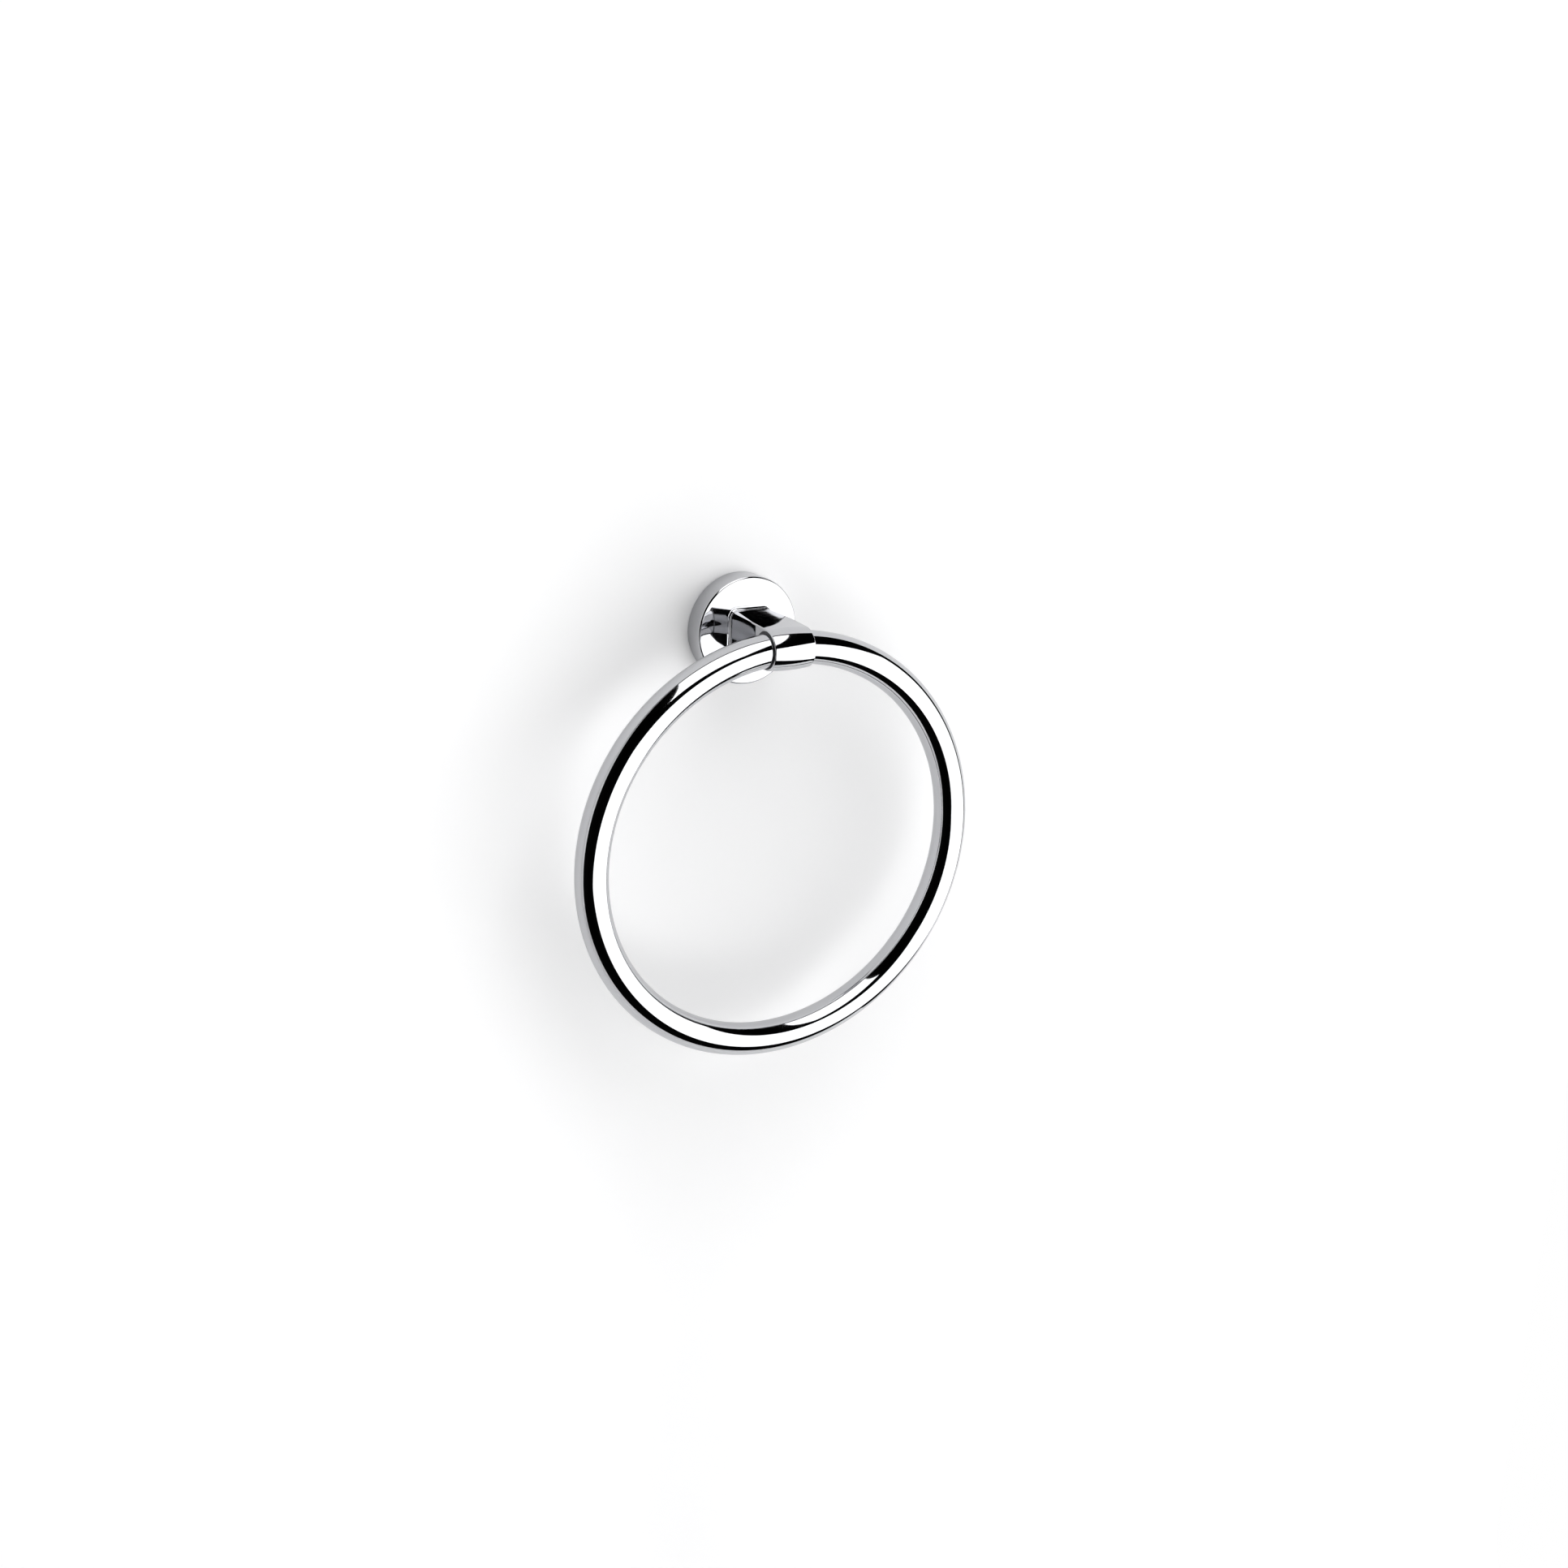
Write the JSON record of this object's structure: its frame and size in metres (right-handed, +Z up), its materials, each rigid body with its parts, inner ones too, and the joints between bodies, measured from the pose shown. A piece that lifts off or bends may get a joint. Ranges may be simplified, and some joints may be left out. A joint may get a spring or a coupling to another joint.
{
  "type": "towel ring",
  "caption": "Wall-mounted towel ring: a thick bent tube held in the sleeve of a short arm on a round rosette, polished chrome, for hanging a hand towel.",
  "frame": {"origin": "middle of the rosette on the wall plane, at the centre of the wall bracket's back face", "axes": "+Y into the wall, +Z up, +X to the right when the ring is faced; the ring hangs at negative Z and stands off the wall at negative Y"},
  "size_m": [0.2, 0.055, 0.2172],
  "materials": {
    "polished_chrome": "mirror-polished chrome plate",
    "dark_plastic": "moulded plastic, matt dark grey",
    "zinc_casting": "tumbled zinc casting, satin grey",
    "plain_steel": "turned steel, bright",
    "dark_steel": "blackened steel"
  },
  "bodies": {
    "root": {"ring": "polished_chrome", "arm": "polished_chrome", "sleeve_bushes": "dark_plastic", "rosette": "polished_chrome", "wall_bracket": "zinc_casting", "clamp_bolt": "plain_steel", "ring_dowel": "plain_steel", "locating_pins": "plain_steel", "rosette_grub_screw": "dark_steel"}
  },
  "joints": []
}
